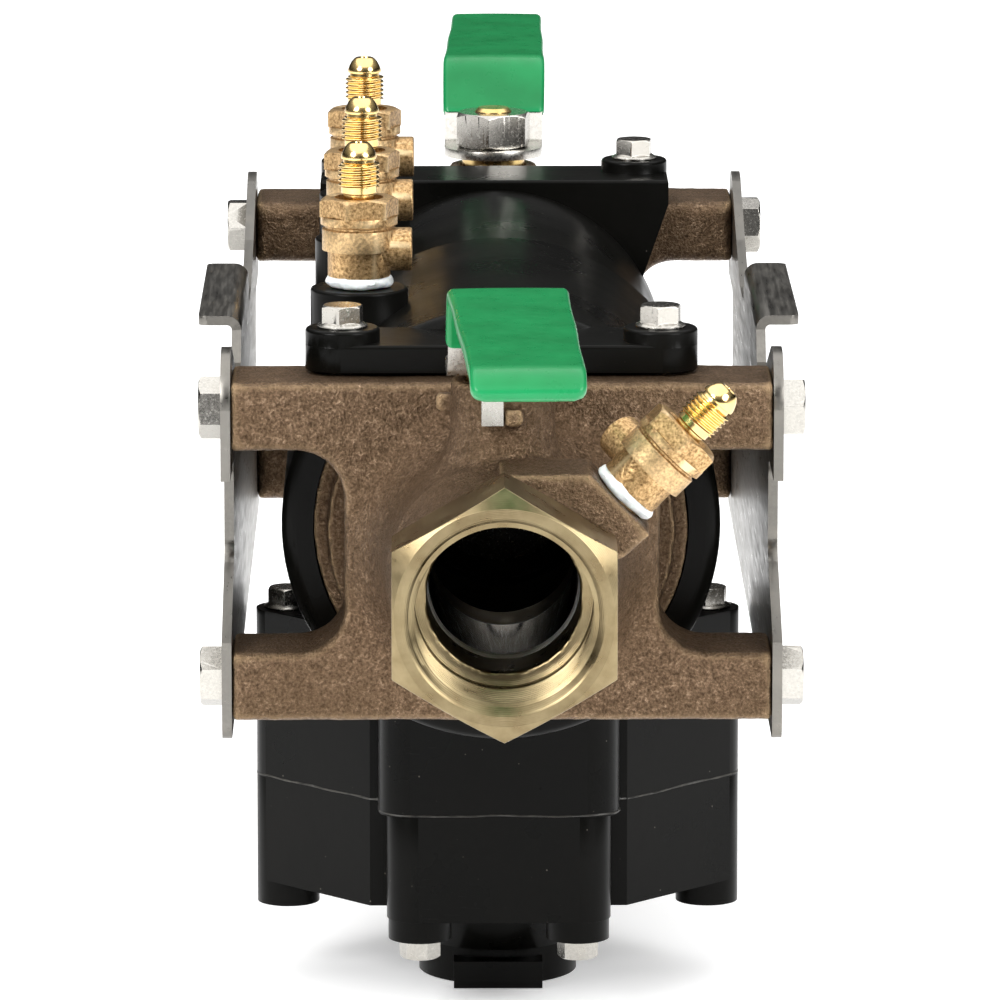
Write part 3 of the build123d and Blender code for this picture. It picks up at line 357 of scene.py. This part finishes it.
def helix_rows(start, end, pitch, shape, count, limit):
    """Rings along a screw thread: shape holds (share of the pitch, radius), and limit clips a radius."""
    rows = []
    turns = int((end - start) / pitch) + 3
    for turn in range(-1, turns):
        for share, radius in shape:
            row = []
            for k in range(count):
                height = start + (turn + share + k / count) * pitch
                held = min(max(height, start), end)
                row.append((k / count * TAU, held, limit(held, radius, not start < height < end)))
            rows.append(row)
    return rows


# ---------------------------------------------------------------- valve castings
HEX_LENGTH, HEX_FLAT, HEX_FRONT, HEX_BACK = 26.0, 28.5, 28.25, 29.7
HEX_CORNER = HEX_FLAT / math.cos(math.pi / 6)
MOUTH_R, CREST_R, ROOT_R, THREAD_END = 25.35, 22.75, 24.25, 25.0
NPT_PITCH = 25.4 / 11.5
BORE_LOOK_R, LUG_Z = 24.6, 45.6


def port_mesh(outlet):
    """Wrench hexagon with its corners up and down, a turned front and a tapered female thread."""
    count = 192
    angles = [k / count * TAU for k in range(count)]
    flat = [HEX_FLAT / math.cos(a % (math.pi / 3) - math.pi / 6) for a in angles]
    front_slope = 2.7 / (HEX_CORNER - HEX_FRONT)
    back_slope = 1.6 / (HEX_CORNER - HEX_BACK)
    profile = [[(a, 0.0, HEX_FRONT - 0.35) for a in angles]]
    profile.append([(a, (r - HEX_FRONT) * front_slope + 0.10, r - 0.15) for a, r in zip(angles, flat)])
    profile.append([(a, (r - HEX_FRONT) * front_slope + 0.35, r) for a, r in zip(angles, flat)])
    profile.append([(a, HEX_LENGTH - max(0.0, r - HEX_BACK) * back_slope - 0.3, r) for a, r in zip(angles, flat)])
    profile.append([(a, HEX_LENGTH, min(r, HEX_BACK) - 0.3) for a, r in zip(angles, flat)])
    profile.append([(a, HEX_LENGTH, CREST_R + 0.6) for a in angles])
    profile.append([(a, HEX_LENGTH - 0.4, CREST_R) for a in angles])

    def limit(height, radius, at_end):
        if at_end:
            radius = CREST_R
        depth = min(1.0, max(0.0, (THREAD_END - height) / 7.0))
        return max(CREST_R + (radius - CREST_R) * depth, MOUTH_R - height)

    shape = [(0.0, CREST_R), (0.14, CREST_R), (0.50, ROOT_R), (0.64, ROOT_R)]
    thread = helix_rows(0.6, THREAD_END, NPT_PITCH, shape, count, limit)[::-1]
    screw = (len(profile), len(profile) + len(thread) - 1, -len(shape))
    profile += thread
    profile.append([(a, 0.12, MOUTH_R - 0.05) for a in angles])
    profile.append([(a, 0.0, MOUTH_R + 0.15) for a in angles])
    rings = []
    for row in profile:
        ring = [(r * math.sin(a), y, r * math.cos(a)) for a, y, r in row]
        rings.append([(-x, LENGTH - y, z) for x, y, z in ring] if outlet else ring)
    return lathe_mesh(rings, screw=screw)


def casting_mesh(node, outlet):
    """The sand-cast part behind the hexagon: edges softened and the skin left uneven."""
    bm = bmesh.new()
    bm.from_mesh(NODES[node].data)
    bmesh.ops.remove_doubles(bm, verts=bm.verts, dist=1e-6)
    cut = (LENGTH - HEX_LENGTH - 0.02 if outlet else HEX_LENGTH + 0.02) * MM
    everything = bm.verts[:] + bm.edges[:] + bm.faces[:]
    sliced = bmesh.ops.bisect_plane(bm, geom=everything, plane_co=(0, cut, 0),
                                    plane_no=(0, 1 if outlet else -1, 0), clear_outer=True)
    rim = [e for e in sliced["geom_cut"] if isinstance(e, bmesh.types.BMEdge)]
    bmesh.ops.bridge_loops(bm, edges=rim)
    bmesh.ops.recalc_face_normals(bm, faces=bm.faces)
    mesh = bpy.data.meshes.new("casting")
    bm.to_mesh(mesh)
    bm.free()
    voxel = 0.9 * MM
    soft = evaluated(mesh, [("REMESH", {"mode": "VOXEL", "voxel_size": voxel}),
                            ("SMOOTH", {"factor": 0.5, "iterations": 4})])
    spots = [v.co.copy() for v in soft.vertices]
    normals = [v.normal.copy() for v in soft.vertices]
    for i, (p, normal) in enumerate(zip(spots, normals)):
        if math.hypot(p.x, p.z) > BORE_LOOK_R * MM:
            sunk = 0.25 if p.z > LUG_Z * MM else 0.0
            spots[i] = p + normal * MM * (0.22 * wobble(p, 14.0) + 0.10 * wobble(p, 2.6, 7.0) - sunk)
    soft.vertices.foreach_set("co", np.array(spots, np.float32).ravel())
    return soft


def bore_faces(made):
    """Give the machined bore of a casting its turned finish."""
    made.data.materials.append(LOOKS["machined_bronze"])
    for face in made.data.polygons:
        if math.hypot(face.center.x, face.center.z) < BORE_LOOK_R * MM:
            face.material_index = 1


for end in ("inlet", "outlet"):
    outlet = end == "outlet"
    node = f"{end}_valve_body"
    cast = piece(f"{end}_casting", casting_mesh(node, outlet), "cast_bronze", replaces=[node], sharp=60)
    bore_faces(cast)
    piece(f"{end}_port_hexagon", port_mesh(outlet), "machined_bronze", sharp=25)


# ---------------------------------------------------------------- test cocks
FLARE_TIP_S, FLARE_R, UNF_PITCH = 30.6, 5.55, 25.4 / 20


def cock_frame(number):
    """Matrix in millimetres that stands a cock's own axis on its boss face."""
    mount = MOUNTS[f"test_cock_{number}_flare"]
    up = Vector(mount["axis"]).normalized()
    origin = Vector(mount["pos_m"]) / MM - up * FLARE_TIP_S
    side = up.orthogonal().normalized()
    turn = Matrix((side, up.cross(side), up)).transposed()
    return Matrix.Translation(origin) @ turn.to_4x4()


def turned_rings(profile, count, place):
    """Rings of points for (height, radius) pairs or rows of (angle, height, radius)."""
    rings = []
    for row in profile:
        if isinstance(row, tuple):
            row = [(k / count * TAU, *row) for k in range(count)]
        rings.append([place @ Vector((r * math.cos(a), r * math.sin(a), s)) for a, s, r in row])
    return rings


def flare_mesh(place):
    """Flare spigot with a real thread, a neck groove and a rounded nose."""
    count = 48

    def limit(height, radius, at_end):
        return FLARE_R - 0.75 if at_end else radius

    shape = [(0.0, FLARE_R), (0.16, FLARE_R), (0.48, FLARE_R - 0.72), (0.62, FLARE_R - 0.72)]
    profile = [(18.1, 1.6), (18.1, 4.15), (25.4, 4.2), (25.8, 4.8), (27.2, 4.8)]
    thread = helix_rows(27.3, 33.9, UNF_PITCH, shape, count, limit)
    screw = (len(profile), len(profile) + len(thread) - 1, len(shape))
    profile += thread
    profile += [(34.1, 4.3), (34.9, 4.2), (35.1, 4.75), (35.7, 4.85), (37.0, 4.35), (38.2, 3.7), (39.1, 2.9),
                (39.4, 2.4), (39.4, 1.8), (39.0, 1.6)]
    return lathe_mesh(turned_rings(profile, count, place), screw=screw)


def tape_mesh(place, seed):
    """Bunched, crumpled tape squeezed out of the joint."""
    count, section = 220, 26
    rows = []
    for j in range(section):
        turn = j / section * TAU
        row = []
        for k in range(count):
            a = k / count * TAU
            spot = Vector((math.cos(a) * 7, math.sin(a) * 7, turn)) * MM
            swell = 1.0 + 0.22 * wobble(spot, 5.0, seed) + 0.16 * wobble(spot, 1.3, seed + 3)
            crease = 0.28 * abs(wobble(Vector((math.cos(a) * 7, math.sin(a) * 7, turn * 1.6)) * MM, 0.8, seed + 9))
            outward = max(0.0, math.cos(turn))
            lump = 0.5 + 0.5 * wobble(Vector((math.cos(a), math.sin(a), 0.3)) * 7 * MM, 6.0, seed + 2)
            radius = 7.2 + ((1.1 + 1.3 * lump) * swell - crease) * math.cos(turn)
            height = 1.9 + (1.5 + 0.5 * lump) * math.sin(turn) * (1 - 0.25 * crease)
            height += 0.6 * outward * wobble(spot, 3.0, seed + 5)
            row.append((a, height, max(radius, 6.1)))
        rows.append(row)
    return lathe_mesh(turned_rings(rows, count, place))


places = [cock_frame(n) for n in range(1, 5)]
piece("flare_spigots", joined([flare_mesh(p) for p in places]), "polished_brass", replaces=["test_cock_flares"],
      sharp=32)
piece("thread_sealing_tape", joined([tape_mesh(p, 11.0 * n) for n, p in enumerate(places, 1)]), "ptfe_tape",
      replaces=["thread_tape"], sharp=70)


# ---------------------------------------------------------------- handle grips
STEM_Y = 68.0
FOOT, BEND, TIP, LIP = (-19.3, 62.0), (-29.0, 76.3), (-146.0, 74.9), (-149.5, 70.0)
GRIP_HALF, TIP_HALF, GRIP_THICK = 15.4, 14.0, 2.1
HANDLE_TURN = {"inlet": 2.0, "outlet": -0.8}


def rounded_path(corners, reach, step):
    """Points every step along straight runs whose corners are rounded over the given reach."""
    corners = [Vector((*c, 0)) for c in corners]
    path = [corners[0]]
    for before, corner, after in zip(corners, corners[1:], corners[2:]):
        enter = corner + (before - corner).normalized() * reach
        leave = corner + (after - corner).normalized() * reach
        path += [enter.lerp(corner, t / 8).lerp(corner.lerp(leave, t / 8), t / 8) for t in range(9)]
    path.append(corners[-1])
    lengths = np.cumsum([0.0] + [(b - a).length for a, b in zip(path, path[1:])])
    spots = np.linspace(0, lengths[-1], int(lengths[-1] / step))
    xs, ys = [p.x for p in path], [p.y for p in path]
    return [(np.interp(s, lengths, xs), np.interp(s, lengths, ys), s, lengths[-1]) for s in spots]


def section_points(half, thick, corner):
    """Outline of a rounded rectangle with a slight crown, as (across, through) pairs."""
    points = []
    for cx, cz, start in ((1, 1, 0), (-1, 1, 90), (-1, -1, 180), (1, -1, 270)):
        for k in range(7):
            a = math.radians(start + k * 15)
            points.append((cx * (half - corner) + corner * math.cos(a),
                           cz * (thick - corner) + corner * math.sin(a)))
        if cz * cx > 0:
            side = 1 if cz > 0 else -1
            points += [(side * (half - corner) * (1 - t / 6), side * (thick + 0.15 * math.sin(math.pi * t / 12)))
                       for t in range(1, 12)]
    return points


def grip_mesh(end):
    """Dipped vinyl sleeve: a loft along the bent lever with soft edges and closed, rounded ends."""
    path = rounded_path([FOOT, BEND, TIP, LIP], 4.6, 1.0)
    turn = math.radians(HANDLE_TURN[end])
    rings = []
    for i, (y, z, s, total) in enumerate(path):
        ahead, behind = path[min(i + 1, len(path) - 1)], path[max(i - 1, 0)]
        along = Vector((0, ahead[0] - behind[0], ahead[1] - behind[1])).normalized()
        through = Vector((1, 0, 0)).cross(along)
        taper = min(1.0, max(0.0, (-30.0 - y) / 120.0))
        half = GRIP_HALF + (TIP_HALF - GRIP_HALF) * taper
        last, first = max(0.0, s - total + 3.2) / 3.2, max(0.0, 1.0 - s) / 1.0
        shrink = 1 - math.sqrt(1 - min(last, 0.995) ** 2)
        thick = GRIP_THICK * (1 - 0.75 * shrink ** 2) - 0.35 * first
        half = half - 3.0 * shrink - 0.35 * first + 0.12 * math.sin(s / 9.0)
        ring = []
        for across, up in section_points(half, thick, min(1.65, thick * 0.86)):
            spot = Vector((across, y, z)) + through * up
            local = Matrix.Rotation(turn, 3, "Z") @ spot
            x, y_world = local.x, local.y + STEM_Y
            ring.append((-x, LENGTH - y_world, local.z) if end == "outlet" else (x, y_world, local.z))
        rings.append(ring)
    return lathe_mesh(rings, close=False)


for end in ("inlet", "outlet"):
    piece(f"{end}_vinyl_sleeve", grip_mesh(end), "green_vinyl", body=f"{end}_handle",
          replaces=[f"{end}_handle_grip"], sharp=50)


# ---------------------------------------------------------------- moulding flash at the relief housing's joint
FLASH_Z, FLASH_STEP = -96.5, 1.3


def outline_at(node, height):
    """The widest loop where a solid crosses a height, as points in order, in metres."""
    bm = bmesh.new()
    bm.from_mesh(NODES[node].data)
    bmesh.ops.remove_doubles(bm, verts=bm.verts, dist=1e-6)
    everything = bm.verts[:] + bm.edges[:] + bm.faces[:]
    bmesh.ops.bisect_plane(bm, geom=everything, plane_co=(0, 0, height * MM), plane_no=(0, 0, 1),
                           clear_outer=True, clear_inner=True)
    loops, seen = [], set()
    for start in bm.verts:
        loop, ahead = [], start
        while ahead is not None and ahead not in seen:
            seen.add(ahead)
            loop.append(ahead.co.copy())
            ahead = next((e.other_vert(ahead) for e in ahead.link_edges if e.other_vert(ahead) not in seen), None)
        loops.append(loop)
    bm.free()
    return max(loops, key=lambda loop: max((p.x for p in loop), default=0) - min((p.x for p in loop), default=0))


def flash_mesh():
    """Thin, uneven ridge round the lower edge of the body's half of the relief housing."""
    corners = outline_at("body", FLASH_Z)
    lengths = np.cumsum([0.0] + [(b - a).length for a, b in zip(corners, corners[1:] + corners[:1])])
    spots = np.linspace(0, lengths[-1], int(lengths[-1] / (FLASH_STEP * MM)), endpoint=False)
    xs, ys = [p.x for p in corners + corners[:1]], [p.y for p in corners + corners[:1]]
    path = [Vector((np.interp(s, lengths, xs), np.interp(s, lengths, ys), FLASH_Z * MM)) / MM for s in spots]
    centre = Vector((0, MID_Y, FLASH_Z))
    spin = sum((a - centre).cross(b - centre).z for a, b in zip(path, path[1:]))
    rings = []
    for before, spot, after in zip(path[-1:] + path, path, path[1:] + path[:1]):
        along = (after - before).normalized()
        outward = Vector((along.y, -along.x, 0)) * (1 if spin > 0 else -1)
        reach = 0.16 + 0.20 * wobble(spot * MM, 3.5, 2.0) + 0.10 * wobble(spot * MM, 14.0, 6.0)
        lift = Vector((0, 0, 0.35 * wobble(spot * MM, 9.0, 4.0)))
        section = ((-0.9, -0.45), (reach, -0.15), (reach, 0.15), (-0.2, 0.5))
        rings.append([spot + lift + outward * out + Vector((0, 0, up)) for out, up in section])
    return lathe_mesh(rings)


flash = piece("joint_flash", flash_mesh(), "black_plastic", sharp=50)
# The flash takes the lighter finish, a painted highlight
flash.data.materials[0] = LOOKS["flash_plastic_painted_highlight"]


# ---------------------------------------------------------------- edges of the carried-over solids
def ease(node, width_mm, angle=32.0, segments=2):
    """Round a solid's sharp edges slightly, without touching its mesh."""
    made = NODES[node]
    weld = made.modifiers.new("weld", "WELD")
    weld.merge_threshold = 0.003 * MM
    bevel = made.modifiers.new("bevel", "BEVEL")
    bevel.width = width_mm * MM
    bevel.segments = segments
    bevel.limit_method = "ANGLE"
    bevel.angle_limit = math.radians(angle)


# node: bevel width in millimetres
EASED = {"body": 0.6, "relief_cover": 0.6, "bracket_left": 0.35, "bracket_right": 0.35, "test_cock_bodies": 0.3,
         "bracket_bolts": 0.22, "ear_screws": 0.2, "relief_side_screws": 0.2, "relief_corner_bolts": 0.2,
         "inlet_handle_nut": 0.25, "outlet_handle_nut": 0.25,
         "inlet_handle_lever": 0.3, "outlet_handle_lever": 0.3}
for node, width in EASED.items():
    ease(node, width)


# ---------------------------------------------------------------- camera, floor and light
def aimed(made, target):
    made.rotation_mode = "QUATERNION"
    made.rotation_quaternion = (Vector(target) - made.location).to_track_quat("-Z", "Y")


CAMERA_SPOT, CAMERA_LENS = (-0.016, -2.073, 0.419), 302.5
turn_right, look_down = math.radians(0.41), math.radians(10.62)
camera = bpy.data.objects.new("camera", bpy.data.cameras.new("camera"))
bpy.context.scene.collection.objects.link(camera)
camera.location = CAMERA_SPOT
forward = Vector((math.sin(turn_right) * math.cos(look_down), math.cos(turn_right) * math.cos(look_down),
                  -math.sin(look_down)))
aimed(camera, camera.location + forward)
camera.data.lens = CAMERA_LENS
camera.data.clip_end = 100
bpy.context.scene.camera = camera

FLOOR_HALF = 14.0
floor_z = cad_box[0].z - 0.0003
floor_mesh = bpy.data.meshes.new("floor")
floor_mesh.from_pydata([(x, y, floor_z) for x, y in ((-FLOOR_HALF, -FLOOR_HALF), (FLOOR_HALF, -FLOOR_HALF),
                                                     (FLOOR_HALF, FLOOR_HALF), (-FLOOR_HALF, FLOOR_HALF))],
                       [], [(0, 1, 2, 3)])
floor_mesh.materials.append(plain("floor_paint", (0.93, 0.93, 0.93), (0.95, 0.95, 0.95), 0.9, 900, 0.0,
                                  Emission_Color=(1, 1, 1, 1), Emission_Strength=0.30))
floor = bpy.data.objects.new("floor", floor_mesh)
bpy.context.scene.collection.objects.link(floor)

# name: place, diameter and power
LIGHTS = {"key": ((-1.5, -1.5, 1.3), 1.2, 54), "fill": ((1.6, -1.2, 1.0), 1.2, 36),
          "overhead": ((0.0, 0.25, 3.6), 8.0, 260)}
for name, (spot, size, watts) in LIGHTS.items():
    light = bpy.data.objects.new(name, bpy.data.lights.new(name, "AREA"))
    bpy.context.scene.collection.objects.link(light)
    light.data.shape = "DISK"
    light.data.size = size
    light.data.energy = watts
    light.location = spot
    aimed(light, (0, 0.25, -0.02))

# A studio that is dark at the horizon and pale overhead
world = bpy.data.worlds.new("studio")
world.use_nodes = True
sky, join = world.node_tree.nodes, world.node_tree.links.new
direction, height, fade = (sky.new(kind) for kind in ("ShaderNodeTexCoord", "ShaderNodeSeparateXYZ",
                                                      "ShaderNodeValToRGB"))
for element, position, grey in zip(fade.color_ramp.elements, (0.20, 0.75), (0.02, 0.42)):
    element.position, element.color = position, colour(grey, grey, grey)
join(direction.outputs["Generated"], height.inputs[0])
join(height.outputs["Z"], fade.inputs["Fac"])
join(fade.outputs["Color"], sky["Background"].inputs["Color"])
bpy.context.scene.world = world
bpy.context.scene.view_settings.view_transform = "Standard"
